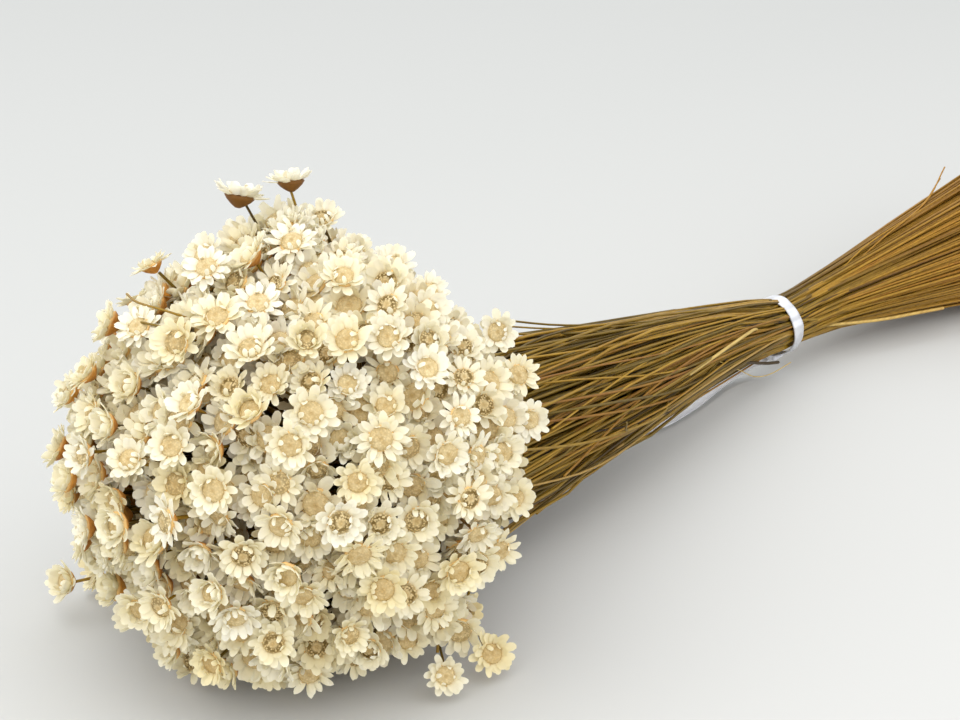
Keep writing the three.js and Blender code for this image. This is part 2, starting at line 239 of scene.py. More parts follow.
class Shader:
    """The node tree of one material."""

    def __init__(self, name: str) -> None:
        """Starts a material with only its output.

        Args:
            name: The material's name.
        """
        self.material = bpy.data.materials.new(name)
        self.material.use_nodes = True
        self.tree = self.material.node_tree
        self.tree.nodes.clear()
        self.output = self.tree.nodes.new("ShaderNodeOutputMaterial")

    def node(self, kind: str, settings: dict[str, object] | None = None,
             sockets: dict[object, object] | None = None, result: object = 0) -> Value:
        """Adds a node.

        Args:
            kind: The node's type.
            settings: Its own settings, which are set first.
            sockets: Values or links for its input sockets, by name or number.
            result: The output socket that is wanted, by name or number.

        Returns:
            The value of that output.
        """
        made = self.tree.nodes.new(kind)
        for name, setting in (settings or {}).items():
            setattr(made, name, setting)
        for key, given in (sockets or {}).items():
            if isinstance(given, Value):
                self.tree.links.new(given.socket, made.inputs[key])
            elif given is not None:
                made.inputs[key].default_value = given
        return Value(self, made.outputs[result])

    def attribute(self, name: str) -> Value:
        """A number that the mesh keeps at each of its points."""
        return self.node("ShaderNodeAttribute", {"attribute_name": name}, result="Fac")

    def place(self, scale: Sequence[float] = (1, 1, 1)) -> Value:
        """The point of the surface, stretched by a scale."""
        point = self.node("ShaderNodeTexCoord", result="Object")
        return self.node("ShaderNodeMapping", sockets={"Vector": point, "Scale": tuple(scale)})

    def noise(self, point: Value, scale: float, detail: float = 2) -> Value:
        """A cloudy pattern from 0 to 1."""
        return self.node("ShaderNodeTexNoise", sockets={"Vector": point, "Scale": scale, "Detail": detail})

    def ramp(self, value: Value, low: float, high: float) -> Value:
        """A value stretched so that a low and a high limit become 0 and 1, and held between them."""
        limits = {"Value": value, "From Min": low, "From Max": high}
        return self.node("ShaderNodeMapRange", {"clamp": True}, limits)

    def mix(self, factor: object, first: object, second: object, way: str = "MIX") -> Value:
        """A colour between two others.

        Args:
            factor: The share of the second one.
            first: The first colour.
            second: The second colour.
            way: How the second goes over the first.

        Returns:
            The colour.
        """
        def colour(given: object) -> object:
            """A colour with its share of cover."""
            return given if isinstance(given, Value) else (*given, 1)
        settings = {"data_type": "RGBA", "blend_type": way}
        sockets = {0: factor, 6: colour(first), 7: colour(second)}
        return self.node("ShaderNodeMix", settings, sockets, result=2)

    def bump(self, height: Value, distance: float, strength: float = 1) -> Value:
        """A surface direction that a height pattern tilts."""
        sockets = {"Height": height, "Distance": distance, "Strength": strength}
        return self.node("ShaderNodeBump", sockets=sockets)

    def surface(self, colour: Value, roughness: object, specular: float, normal: Value | None = None,
                sheen: float = 0) -> Value:
        """A surface that lets no light through.

        Args:
            colour: Its colour.
            roughness: How dull its shine is.
            specular: How strong its shine is.
            normal: Its direction, where a pattern tilts it.
            sheen: The soft shine of threads.

        Returns:
            The surface.
        """
        return self.node("ShaderNodeBsdfPrincipled", sockets={
            "Base Color": colour, "Roughness": roughness, "Specular IOR Level": specular,
            "Normal": normal, "Sheen Weight": sheen})

    def finish(self, surface: Value) -> Material:
        """Links the surface to the output and gives the material."""
        self.tree.links.new(surface.socket, self.output.inputs["Surface"])
        return self.material


# Finishes


@dataclass(frozen=True)
class PetalPaper:
    """Dry, papery petals: near white at their tips, yellow cream lower down, and browner with age."""

    white: Colour = paint(255, 255, 252)
    cream: Colour = paint(254, 250, 230)
    aged: Colour = paint(248, 238, 200)
    yellow: Colour = paint(249, 239, 200)
    base: Colour = paint(226, 204, 146)
    glow: Colour = paint(255, 249, 222)
    see_through: float = 0.36
    roughness: float = 0.5

    def material(self) -> Material:
        """The petals' material.

        Returns:
            The material.
        """
        shader = Shader("petal_paper")
        reach, leaf, tone = map(shader.attribute, NUMBERS)
        cloud = shader.noise(shader.place(), 220, 3)
        # The tone carries painted light: flowers near the crown's top and right are painted whiter
        body = shader.mix(shader.ramp(tone + leaf * 0.3 + cloud * 0.4, 0.25, 1.15), self.white, self.cream)
        body = shader.mix(shader.ramp(tone + cloud * 0.6, 1, 1.6), body, self.aged)
        body = shader.mix(shader.ramp(reach, 0.95, 0.4) * (tone * 0.65 + 0.1), body, self.yellow)
        colour = shader.mix(shader.ramp(reach, 0.36, 0) * 0.75, body, self.base)
        veins = shader.noise(shader.place(), 1500, 2)
        normal = shader.bump(veins, 0.1 * MM, 0.4)
        paper = shader.surface(colour, self.roughness, 0.3, normal)
        glow = shader.node("ShaderNodeBsdfTranslucent", sockets={"Color": (*self.glow, 1)})
        sockets = {0: self.see_through, 1: paper, 2: glow}
        return shader.finish(shader.node("ShaderNodeMixShader", sockets=sockets))


@dataclass(frozen=True)
class FloretDisc:
    """The raised disc of tiny florets, tan to cream, with a speckled ring on some flowers."""

    light: Colour = paint(230, 211, 165)
    deep: Colour = paint(200, 172, 118)
    speck: Colour = paint(122, 100, 54)
    middle: Colour = paint(192, 162, 106)

    def material(self) -> Material:
        """The disc's material.

        Returns:
            The material.
        """
        shader = Shader("floret_disc")
        reach, leaf, tone = map(shader.attribute, NUMBERS)
        point = shader.place()
        sockets = {"Vector": point, "Scale": 1800}
        florets = shader.node("ShaderNodeTexVoronoi", sockets=sockets, result="Distance")
        grain = shader.noise(point, 900, 3)
        colour = shader.mix(shader.ramp(grain + tone * 0.3, 0.35, 0.95), self.light, self.deep)
        colour = shader.mix(shader.ramp(reach, 0.32, 0.1) * 0.75, colour, self.middle)
        ring = shader.ramp(reach, 0.3, 0.5) * shader.ramp(reach, 1, 0.75)
        specks = shader.ramp(florets, 0.28, 0.55) * (ring * shader.ramp(leaf, 0.6, 0.78) * 0.8 + 0.2)
        colour = shader.mix(specks, colour, self.speck)
        normal = shader.bump(1 - florets, 0.25 * MM, 0.8)
        return shader.finish(shader.surface(colour, 0.7, 0.25, normal))


@dataclass(frozen=True)
class CupScales:
    """The cup of small scales below the petals, brown to orange and paler at its rim."""

    brown: Colour = paint(158, 98, 36)
    orange: Colour = paint(220, 156, 72)
    rim: Colour = paint(240, 206, 140)
    dark: Colour = paint(116, 76, 26)

    def material(self) -> Material:
        """The cup's material.

        Returns:
            The material.
        """
        shader = Shader("cup_scales")
        reach, leaf, tone = map(shader.attribute, NUMBERS)
        grain = shader.noise(shader.place(), 700, 3)
        colour = shader.mix(shader.ramp(grain + leaf * 0.5, 0.35, 1.1), self.brown, self.orange)
        colour = shader.mix(shader.ramp(reach, 0.7, 1), colour, self.rim)
        colour = shader.mix(shader.ramp(tone, 0.06, 0.01), colour, self.dark)
        return shader.finish(shader.surface(colour, 0.6, 0.3, shader.bump(grain, 0.2 * MM, 0.6)))


@dataclass(frozen=True)
class StrawStem:
    """Thin dry stems, olive gold to rust brown, more amber behind the tie, with fine streaks."""

    dark: Colour = paint(64, 46, 8)
    olive: Colour = paint(114, 93, 18)
    gold: Colour = paint(168, 131, 34)
    rust: Colour = paint(142, 97, 24)
    pale: Colour = paint(208, 180, 104)
    amber: Colour = paint(196, 138, 42)

    def material(self) -> Material:
        """The stems' material.

        Returns:
            The material.
        """
        shader = Shader("straw_stem")
        tone = shader.attribute("tone")
        streaks = shader.noise(shader.place((0.06, 1, 1)), 1400, 3)
        cloud = shader.noise(shader.place((0.35, 1, 1)), 60, 2)
        colour = shader.mix(shader.ramp(tone + cloud * 0.4, 0.2, 0.5), self.dark, self.olive)
        colour = shader.mix(shader.ramp(tone + cloud * 0.3, 0.45, 0.95), colour, self.gold)
        colour = shader.mix(shader.ramp(tone + cloud * 0.4, 1.05, 1.25), colour, self.rust)
        colour = shader.mix(shader.ramp(tone, 1.2, 1.3), colour, self.pale)
        along = shader.node("ShaderNodeSeparateXYZ", sockets={"Vector": shader.place()}, result="X")
        colour = shader.mix(shader.ramp(along, 0.05, 0.13) * 0.4, colour, self.amber)
        colour = shader.mix(shader.ramp(streaks, 0.35, 0.75) * 0.45, colour, self.rust, "MULTIPLY")
        roughness = shader.ramp(streaks, 0, 1) * 0.2 + 0.42
        return shader.finish(shader.surface(colour, roughness, 0.4, shader.bump(streaks, 0.06 * MM, 0.7)))


@dataclass(frozen=True)
class SatinRibbon:
    """White satin ribbon, smooth and softly shiny, with fine threads and a few creases that carry painted
    shade.
    """

    white: Colour = paint(233, 234, 238)
    shade: Colour = paint(202, 205, 215)

    def material(self) -> Material:
        """The ribbon's material.

        Returns:
            The material.
        """
        shader = Shader("satin_ribbon")
        creases_and_painted_shade = shader.noise(shader.place((0.6, 1.4, 1)), 160, 2)
        threads = shader.node("ShaderNodeTexWave", {"bands_direction": "Y"},
                              {"Vector": shader.place(), "Scale": 1300, "Distortion": 0.6})
        # Painted shade: the ribbon's colour turns blue grey in its creases
        colour = shader.mix(shader.ramp(creases_and_painted_shade, 0.35, 0.75), self.white, self.shade)
        normal = shader.bump(creases_and_painted_shade + threads * 0.08, 0.5 * MM, 0.6)
        return shader.finish(shader.surface(colour, 0.34, 0.5, normal, sheen=0.3))


@dataclass(frozen=True)
class TableTop:
    """The pale matt table under the bunch."""

    far: Colour = paint(198, 199, 197)
    near: Colour = paint(203, 203, 201)

    def material(self) -> Material:
        """The table's material, painted a little lighter towards its near side as painted light.

        Returns:
            The material.
        """
        shader = Shader("table_top")
        across = shader.node("ShaderNodeSeparateXYZ", sockets={"Vector": shader.place()}, result="Y")
        # Painted light: the table is made a little lighter towards its near side
        colour = shader.mix(shader.ramp(across, 0.25, -0.2), self.far, self.near)
        return shader.finish(shader.surface(colour, 0.85, 0.2))


# What the CAD model says


@dataclass
class BloomPlace:
    """Where one flower of the CAD model is: its middle, the way it faces and its stem's course."""

    centre: Vector
    axis: Vector
    guide: Vector
    radius: float
    lift: float
    course: list[Vector]


@dataclass
class SprayPlan:
    """One spray: its flowers and cut ends in the CAD model, and the flowers added below those."""

    node: str
    blooms: list[BloomPlace]
    tails: list[list[Vector]]
    fillers: list[BloomPlace] = field(default_factory=list)
    deep: list[BloomPlace] = field(default_factory=list)

    def flowers(self) -> list[BloomPlace]:
        """Every flower of the spray."""
        return [*self.blooms, *self.fillers, *self.deep]


@dataclass
class FillerPlanner:
    """Adds a second layer of flowers in the widest gaps between the CAD model's, and deeper ones."""

    count: int = 300
    neighbours: int = 6
    widest_gap: float = 27 * MM
    depth: tuple[float, float] = (1.6 * MM, 5.5 * MM)
    deep_each: int = 3
    deep_depth: tuple[float, float] = (7 * MM, 14 * MM)
    apart: float = 4.4 * MM
    lowest: float = 4 * MM
    crown_middle: Vector = field(default_factory=lambda: TIE_PLACE + Vector((-190, 0, 52)) * MM)
    tip: float = 0.3
    cup_depth: float = 2.8 * MM
    moved: tuple[float, ...] = (0, 0.05, 0.3, 0.8, 1)
    seed: int = 77

    def add_to(self, plans: Sequence[SprayPlan]) -> None:
        """Gives the sprays their flowers of the lower layers, the widest gaps first.

        Args:
            plans: The sprays, whose own flowers stay where they are.
        """
        chance = random.Random(self.seed)
        everyone = [bloom for plan in plans for bloom in plan.blooms]
        taken = [bloom.centre for bloom in everyone]
        found: dict[frozenset[int], tuple[SprayPlan, BloomPlace, BloomPlace]] = {}
        for plan in plans:
            for bloom in plan.blooms:
                for trio, middle in self._middles(bloom, everyone):
                    found.setdefault(trio, (plan, bloom, middle))
        gaps = sorted(found.values(), key=lambda gap: -min((gap[2].centre - spot).length for spot in taken))
        for plan, bloom, middle in gaps:
            if sum(len(each.fillers) for each in plans) >= self.count:
                break
            if all((middle.centre - spot).length > self.apart for spot in taken):
                taken.append(middle.centre)
                plan.fillers.append(self._sunk(bloom, middle, self.depth, chance))
        for plan in plans:
            for bloom in chance.sample(plan.blooms, min(self.deep_each, len(plan.blooms))):
                plan.deep.append(self._sunk(bloom, bloom, self.deep_depth, chance))

    def _middles(self, bloom: BloomPlace,
                 everyone: Sequence[BloomPlace]) -> list[tuple[frozenset[int], BloomPlace]]:
        """The places midway between a flower and each two of its neighbours.

        Args:
            bloom: The flower.
            everyone: All flowers of the CAD model.

        Returns:
            Each place, after the three flowers that it lies between.
        """
        def distance(other: BloomPlace) -> float:
            """How far another flower is."""
            return (other.centre - bloom.centre).length
        near = sorted(everyone, key=distance)[1:self.neighbours + 1]
        near = [other for other in near if distance(other) < self.widest_gap]
        found = []
        for one, two in combinations(near, 2):
            axis = (bloom.axis + one.axis + two.axis).normalized()
            centre = (bloom.centre + one.centre + two.centre) / 3
            trio = frozenset(id(each) for each in (bloom, one, two))
            found.append((trio, replace(bloom, centre=centre, axis=axis)))
        return found

    def _sunk(self, bloom: BloomPlace, middle: BloomPlace, depth: tuple[float, float],
              chance: random.Random) -> BloomPlace:
        """A flower sunk below its neighbours, on a stem that runs beside one of theirs.

        Args:
            bloom: The neighbour whose stem it follows.
            middle: The place that it is sunk from.
            depth: The least and the greatest depth.
            chance: The stream of chance.

        Returns:
            The flower's place.
        """
        outward = (middle.centre - self.crown_middle).normalized()
        tipped = Vector([chance.gauss(0, self.tip) for _ in range(3)])
        axis = (middle.axis + outward + tipped).normalized()
        centre = middle.centre - axis * chance.uniform(*depth)
        centre.z = max(centre.z, self.lowest)
        shift = centre - bloom.centre
        course = [point + shift * share for point, share in zip(bloom.course, self.moved)]
        course[-1] = centre - axis * self.cup_depth
        return replace(bloom, centre=centre, axis=axis, course=course)


@dataclass
class SprayReader:
    """Finds flowers and stems in a spray's CAD mesh by how its points are joined.

    Flowers, stems and points are put in order by where they are, never by their order in the mesh,
    so that the same shape always gives the same plan.
    """

    petals: int = 7
    course_rings: int = 5
    merge: float = 0.02 * MM
    disc_rise: float = 1 * MM
    shortest_petal: float = 2.5 * MM
    longest_petal: float = 9 * MM
    guide_side: Vector = field(default_factory=lambda: Vector((0.23, 0.51, 0.83)))
    facing_back: float = 0.95

    def read(self, node: str) -> SprayPlan:
        """The plan of a spray.

        Args:
            node: The CAD node's name.

        Returns:
            Its flowers and its cut ends.
        """
        mesh = bmesh.new()
        mesh.from_mesh(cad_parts[node].data)
        bmesh.ops.remove_doubles(mesh, verts=mesh.verts, dist=self.merge)
        bmesh.ops.recalc_face_normals(mesh, faces=mesh.faces)
        blooms = [self._bloom(point) for point in mesh.verts if self._is_disc(point)]
        tails = [self._tail(face) for face in mesh.faces if self._is_cut_end(face)]
        mesh.free()
        blooms.sort(key=lambda bloom: bloom.centre.dot(self.guide_side))
        tails.sort(key=lambda tail: tail[1].dot(self.guide_side))
        return SprayPlan(node, blooms, tails)

    def _is_disc(self, point: Point) -> bool:
        """Whether a point is the middle of a flower's disc.

        Args:
            point: A point of the spray's mesh.

        Returns:
            Whether it has the right number of edges, each as long as a petal or a notch.
        """
        lengths = [edge.calc_length() for edge in point.link_edges]
        return (len(lengths) == 2 * self.petals and min(lengths) > self.shortest_petal
                and max(lengths) < self.longest_petal)

    def _is_cut_end(self, face: Face) -> bool:
        """Whether a face is the cut end of a stem behind the tie."""
        behind = face.calc_center_median().x - TIE_PLACE.x > TAIL_START
        return behind and face.normal.x > self.facing_back

    @staticmethod
    def _next_ring(ring: set[Point], passed: set[Point]) -> set[Point]:
        """The points joined to a ring that were not passed yet."""
        found = {edge.other_vert(point) for point in ring for edge in point.link_edges}
        return found - ring - passed

    def _middle(self, ring: Iterable[Point]) -> Vector:
        """The mean place of some points."""
        points = self._in_order(ring)
        return sum((point.co for point in points), Vector()) / len(points)

    def _in_order(self, points: Iterable[Point]) -> list[Point]:
        """Some points, from the one least to the one most to the guide side."""
        return sorted(points, key=lambda point: point.co.dot(self.guide_side))

    def _bloom(self, disc: Point) -> BloomPlace:
        """A flower, found from its disc's middle down its stem to where the tie holds it.

        Args:
            disc: The middle of its disc.

        Returns:
            The flower's place.
        """
        rim = {edge.other_vert(disc) for edge in disc.link_edges}
        rings = [rim, self._next_ring(rim, {disc})]
        passed = {disc} | rim
        while len(rings) < self.course_rings + 1:
            ring = self._next_ring(rings[-1], passed)
            passed |= rings[-1]
            rings.append(ring)
        cup = self._middle(rings[1])
        axis = (disc.co - cup).normalized()
        centre = disc.co - axis * self.disc_rise
        tips = self._in_order(sorted(rim, key=lambda point: (point.co - centre).length)[-self.petals:])
        radius = sum((point.co - centre).length for point in tips) / self.petals
        lift = sum((point.co - centre).dot(axis) for point in tips) / self.petals
        guide, _ = frame_across(axis, tips[-1].co - centre)
        course = [self._middle(ring) for ring in reversed(rings[1:])]
        return BloomPlace(centre, axis, guide, radius, lift, course)

    def _tail(self, cap: Face) -> list[Vector]:
        """The course of a cut end, from the lock to its cut."""
        end = set(cap.verts)
        return [self._middle(self._next_ring(end, set())), self._middle(end)]


# Flowers


class Opening(Enum):
    """How far a flower has opened."""

    STAR = "star"
    BOWL = "bowl"
    ROSE = "rose"
    NEST = "nest"
    DEEP = "deep"


@dataclass(frozen=True)
class PetalRing:
    """One layer of petals round the disc; lengths in millimetres and angles in degrees.

    The point is how far a petal's tip stands out as a share of its length, and the missing
    share is that of the petals which have folded out of sight.
    """

    count: int
    start: float
    length: float
    width: float
    tilt: float
    curl: float
    height: float
    point: float = 0.07
    missing: float = 0
    hollow: float = 0.25


PETAL_RINGS: dict[Opening, tuple[PetalRing, ...]] = {
    Opening.STAR: (
        PetalRing(12, 2.1, 4.5, 1.8, 3, 10, -0.5, 0.13),
        PetalRing(11, 2.1, 3.8, 1.65, 18, 14, -0.2, 0.12, 0.1),
        PetalRing(9, 2.6, 2.2, 1.2, 60, 70, 0.1, 0.08, 0.55)),
    Opening.BOWL: (
        PetalRing(11, 2.1, 4.3, 2.2, 14, 20, -0.5), PetalRing(11, 2.3, 3.6, 2, 34, 24, -0.2),
        PetalRing(10, 2.7, 2.4, 1.25, 74, 70, 0.1, 0.08, 0.5)),
    Opening.ROSE: (
        PetalRing(10, 1.9, 4.5, 2.4, 28, 32, -0.6), PetalRing(10, 2.2, 3.9, 2.2, 50, 38, -0.3),
        PetalRing(10, 2.5, 2.9, 1.5, 72, 70, 0, 0.08, 0.4)),
    Opening.NEST: (
        PetalRing(9, 1.9, 4.4, 2.5, 16, 25, -0.5), PetalRing(8, 2.3, 3.4, 2.1, 48, 36, 0)),
    Opening.DEEP: (PetalRing(9, 1.9, 4.7, 3, 16, 25, -0.4),),
}

# A petal's width from its foot to its rounded tip, as shares of its greatest width
PETAL_OUTLINE = (0.5, 0.85, 1, 0.98, 0.66)


@dataclass(frozen=True)
class Fineness:
    """How finely a flower is cut: a petal's steps, its disc's sides and rings, and its cup's sides."""

    petal: int = 4
    disc: int = 12
    rings: int = 8
    cup: int = 10


# Flowers that are half hidden are cut less finely
HIDDEN_FINENESS = {Opening.NEST: Fineness(petal=3), Opening.DEEP: Fineness(2, 8, 6, 6)}


@dataclass
class BloomForm:
    """The shape of one flower, made once and set in many places; lengths in millimetres."""

    opening: Opening
    seed: int
    petal_thickness: float = 0.11
    ruffle: float = 0.2
    disc_radius: float = 2.75
    disc_height: float = 0.95
    disc_dimple: float = 0.28
    cup_profile: tuple[tuple[float, float], ...] = (
        (0.5, -2.9), (1.5, -2.3), (2.6, -1.4), (3.3, -0.5), (2.9, -0.1))
    long: tuple[float, float] = (0.84, 1.12)
    wide: tuple[float, float] = (0.8, 1.15)
    curled: tuple[float, float] = (0.5, 1.5)
    tilt_spread: float = 9
    lean: float = 0.16
    disc_grain: float = 0.1
    sharp_petal: float = 1
    chance: random.Random = field(init=False)
    fine: Fineness = field(init=False)

    def __post_init__(self) -> None:
        """Starts this form's own stream of chance."""
        self.chance = random.Random(self.seed)
        self.fine = HIDDEN_FINENESS.get(self.opening, Fineness())

    def build(self) -> bpy.types.Mesh:
        """The whole flower, its middle at the origin and facing up.

        Returns:
            Its mesh, in metres.
        """
        shape = new_shape(NUMBERS)
        for order, ring in enumerate(PETAL_RINGS[self.opening]):
            self._add_ring(shape, ring, order)
        self._add_disc(shape)
        self._add_cup(shape)
        bmesh.ops.scale(shape, vec=(MM, MM, MM), verts=shape.verts)
        return finish_mesh(shape, f"bloom_form_{self.opening.value}_{self.seed}")

    def _petal(self, ring: PetalRing) -> Shape:
        """One petal along X: a small grid, shaped into a spoon and given its thickness.

        Args:
            ring: The layer that it belongs to.

        Returns:
            The petal's shape.
        """
        petal = new_shape(["reach"])
        reach = petal.verts.layers.float["reach"]
        bmesh.ops.create_grid(petal, x_segments=self.fine.petal, y_segments=2, size=0.5)
        length = ring.length * self.chance.uniform(*self.long)
        width = ring.width * self.chance.uniform(*self.wide)
        tilt = math.radians(ring.tilt + self.chance.gauss(0, self.tilt_spread))
        curl = math.radians(ring.curl * self.chance.uniform(*self.curled))
        lean = self.chance.uniform(-self.lean, self.lean)
        for point in petal.verts:
            along, side = point.co.x + 0.5, point.co.y * 2
            half = width / 2 * PETAL_OUTLINE[round(along * (len(PETAL_OUTLINE) - 1))]
            along *= 1 - ring.point * abs(side) * along ** 3
            angle = tilt + curl * along / 2
            run = length * along
            wave = self.ruffle * abs(side) * math.sin(math.pi * along) * self.chance.gauss(0, 1)
            rise = ring.hollow * abs(side) ** 2 * half + wave
            point[reach] = along
            point.co = Vector((ring.start + run * math.cos(angle) - rise * math.sin(angle),
                               side * half + lean * run * along,
                               ring.height + run * math.sin(angle) + rise * math.cos(angle)))
        bmesh.ops.solidify(petal, geom=petal.faces[:], thickness=self.petal_thickness)
        bmesh.ops.recalc_face_normals(petal, faces=petal.faces)
        for edge in petal.edges:
            edge.smooth = edge.calc_face_angle(0) < self.sharp_petal
        return petal

    def _add_ring(self, shape: Shape, ring: PetalRing, order: int) -> None:
        """Adds one layer of petals to the flower.

        Args:
            shape: The flower so far.
            ring: The layer's sizes.
            order: Which layer it is, from the outside.
        """
        leaf = shape.verts.layers.float["leaf"]
        for i in range(ring.count):
            if self.chance.random() < ring.missing:
                continue
            petal = self._petal(ring)
            turn = TURN * (i + order / 2 + self.chance.uniform(-self.lean, self.lean)) / ring.count
            bmesh.ops.rotate(petal, matrix=Matrix.Rotation(turn, 3, "Z"), verts=petal.verts)
            spare = finish_mesh(petal, "petal")
            made = add_copy(shape, spare)
            bpy.data.meshes.remove(spare)
            share = self.chance.random()
            for point in made:
                point[leaf] = share
        set_smooth(shape.faces)

    def _add_disc(self, shape: Shape) -> None:
        """Adds the raised disc, with a dimple in its middle.

        Args:
            shape: The flower so far.
        """
        reach = shape.verts.layers.float["reach"]
        made = bmesh.ops.create_uvsphere(shape, u_segments=self.fine.disc, v_segments=self.fine.rings,
                                         radius=self.disc_radius)["verts"]
        for point in made:
            out = point.co.xy.length / self.disc_radius
            top = point.co.z > 0
            point.co.z *= self.disc_height / self.disc_radius
            if top:
                point.co.z -= self.disc_dimple * (1 - out) ** 2
                point.co.z += self.disc_grain * self.chance.uniform(-1, 1) * out
            point[reach] = out
        self._dress(made, 1)

    def _add_cup(self, shape: Shape) -> None:
        """Adds the cup below the petals, extruded ring by ring from the stem's end.

        Args:
            shape: The flower so far.
        """
        reach = shape.verts.layers.float["reach"]
        radius, lowest = self.cup_profile[0]
        base = bmesh.ops.create_circle(shape, cap_ends=True, segments=self.fine.cup, radius=radius)["verts"]
        bmesh.ops.translate(shape, vec=(0, 0, lowest), verts=base)
        made = list(base)
        faces = joined(base, "link_faces")
        for wider, higher in self.cup_profile[1:]:
            grown = bmesh.ops.extrude_face_region(shape, geom=faces)["geom"]
            ring = [item for item in grown if isinstance(item, Point)]
            bmesh.ops.delete(shape, geom=faces, context="FACES_ONLY")
            faces = [item for item in grown if isinstance(item, Face)]
            for point in ring:
                point.co.xy *= wider / radius
                point.co.z = higher
                point[reach] = (higher - lowest) / -lowest
            radius = wider
            made += ring
        bmesh.ops.holes_fill(shape, edges=[edge for edge in shape.edges if edge.is_boundary])
        bmesh.ops.recalc_face_normals(shape, faces=joined(made, "link_faces"))
        self._dress(made, 2)

    @staticmethod
    def _dress(points: Iterable[Point], finish: int) -> None:
        """Gives the faces of some points a finish and smooth shading.

        Args:
            points: The points.
            finish: The finish's number among the flower's.
        """
        faces = joined(points, "link_faces")
        set_smooth(faces)
        for face in faces:
            face.material_index = finish


@dataclass
class FormBook:
    """The few flower forms that every spray draws from."""

    kinds: int = 5
    seeds: tuple[int, int] = (11, 100)
    forms: dict[Opening, list[bpy.types.Mesh]] = field(default_factory=dict)

    def build(self) -> None:
        """Makes every form once."""
        first, apart = self.seeds
        for order, opening in enumerate(Opening):
            seeds = range(first + apart * order, first + apart * order + self.kinds)
            self.forms[opening] = [BloomForm(opening, seed).build() for seed in seeds]

    def clear(self) -> None:
        """Removes the forms once they are set in place."""
        for meshes in self.forms.values():
            for mesh in meshes:
                bpy.data.meshes.remove(mesh)


@dataclass
class SprayBlooms:
    """The flowers of one spray."""

    plan: SprayPlan
    book: FormBook
    materials: list[Material]
    growth: float = 0.95
    hidden_growth: float = 1.12
    crown_top: float = 111 * MM
    top_growth: float = 1.22
    top_axis: Vector = field(default_factory=lambda: Vector((0.3, 0.24, 1)))
    cad_radius: float = 5.8 * MM
    sizes: tuple[float, float] = (0.9, 1.08)
    tilt: float = 0.13
    tone_spread: float = 0.22
    tones: tuple[float, float] = (0.1, 1.2)
    rose_above: float = 0.95
    bowl_above: float = 0.15
    own_share: float = 0.4

    def build(self) -> bpy.types.Object:
        """All flowers of the spray as one piece.

        Returns:
            The piece.
        """
        chance = random.Random(self.plan.node)
        shape = new_shape(NUMBERS)
        for bloom in self.plan.blooms:
            self._add_bloom(shape, bloom, self._choose(bloom, chance), chance)
        for bloom in self.plan.fillers:
            self._add_bloom(shape, bloom, Opening.NEST, chance)
        for bloom in self.plan.deep:
            self._add_bloom(shape, bloom, Opening.DEEP, chance)
        node = self.plan.node
        return finish_piece(shape, f"{node}_blooms", self.materials, node)

    def _choose(self, bloom: BloomPlace, chance: random.Random) -> Opening:
        """How open a flower is: those at the far left and those with lifted petals are closed more.

        Args:
            bloom: The flower's place.
            chance: The spray's stream of chance.

        Returns:
            How far it has opened.
        """
        if self._stands_out(bloom):
            return Opening.BOWL
        closing = 0.5 * bloom.lift / MM + 1.1 * max(0, -bloom.axis.x - 0.35) + chance.uniform(-0.5, 0.5)
        if closing > self.rose_above:
            return Opening.ROSE
        return Opening.BOWL if closing > self.bowl_above else Opening.STAR

    def _add_bloom(self, shape: Shape, bloom: BloomPlace, opening: Opening,
                   chance: random.Random) -> None:
        """Sets one flower form in its place.

        Args:
            shape: The spray's flowers so far.
            bloom: The flower's place.
            opening: How far it has opened.
            chance: The spray's stream of chance.
        """
        leaf, tone = (shape.verts.layers.float[name] for name in ("leaf", "tone"))
        stands_out = self._stands_out(bloom)
        made = add_copy(shape, chance.choice(self.book.forms[opening]))
        facing = self.top_axis if stands_out else bloom.axis
        axis = (facing + Vector([chance.gauss(0, self.tilt) for _ in range(3)])).normalized()
        first, second = frame_across(axis, bloom.guide)
        size = self.growth * bloom.radius / self.cad_radius * chance.uniform(*self.sizes)
        if stands_out:
            size *= self.top_growth
        if opening in HIDDEN_FINENESS:
            size *= self.hidden_growth
        turned = Matrix((first, second, axis)).transposed().to_4x4()
        place = Matrix.Translation(bloom.centre) @ turned @ Matrix.Rotation(chance.uniform(0, TURN), 4, "Z")
        bmesh.ops.transform(shape, matrix=place @ Matrix.Scale(size, 4), verts=made)
        palest, deepest = self.tones
        shade = min(deepest, max(palest, self._tone_with_painted_light(bloom) + chance.gauss(0, self.tone_spread)))
        if stands_out:
            shade = 0
        own = chance.random()
        for point in made:
            point[tone] = shade
            point[leaf] = (1 - self.own_share) * point[leaf] + self.own_share * own if point[leaf] else own
            point.co.z = max(point.co.z, 0)

    def _stands_out(self, bloom: BloomPlace) -> bool:
        """Whether a flower stands above the round crown."""
        return bloom.centre.z > self.crown_top

    @staticmethod
    def _tone_with_painted_light(bloom: BloomPlace) -> float:
        """How creamy a flower is, made whiter near the top and the right of the crown as painted light.

        Args:
            bloom: The flower's place.

        Returns:
            Its tone before chance is added.
        """
        # Painted light: flowers high on the crown and at its right get a whiter tone
        height = bloom.centre.z / (110 * MM)
        right = (bloom.centre.x - TIE_PLACE.x + 240 * MM) / (60 * MM)
        return 0.72 - 0.5 * height - 0.12 * right


# Stems


@dataclass
class Strand:
    """One stem's course, its thickness and its shade."""

    points: list[Vector]
    radius: float
    tone: float


# How finely a stretch between two given points is followed before its length is shared out
CURVE_STEPS = 12


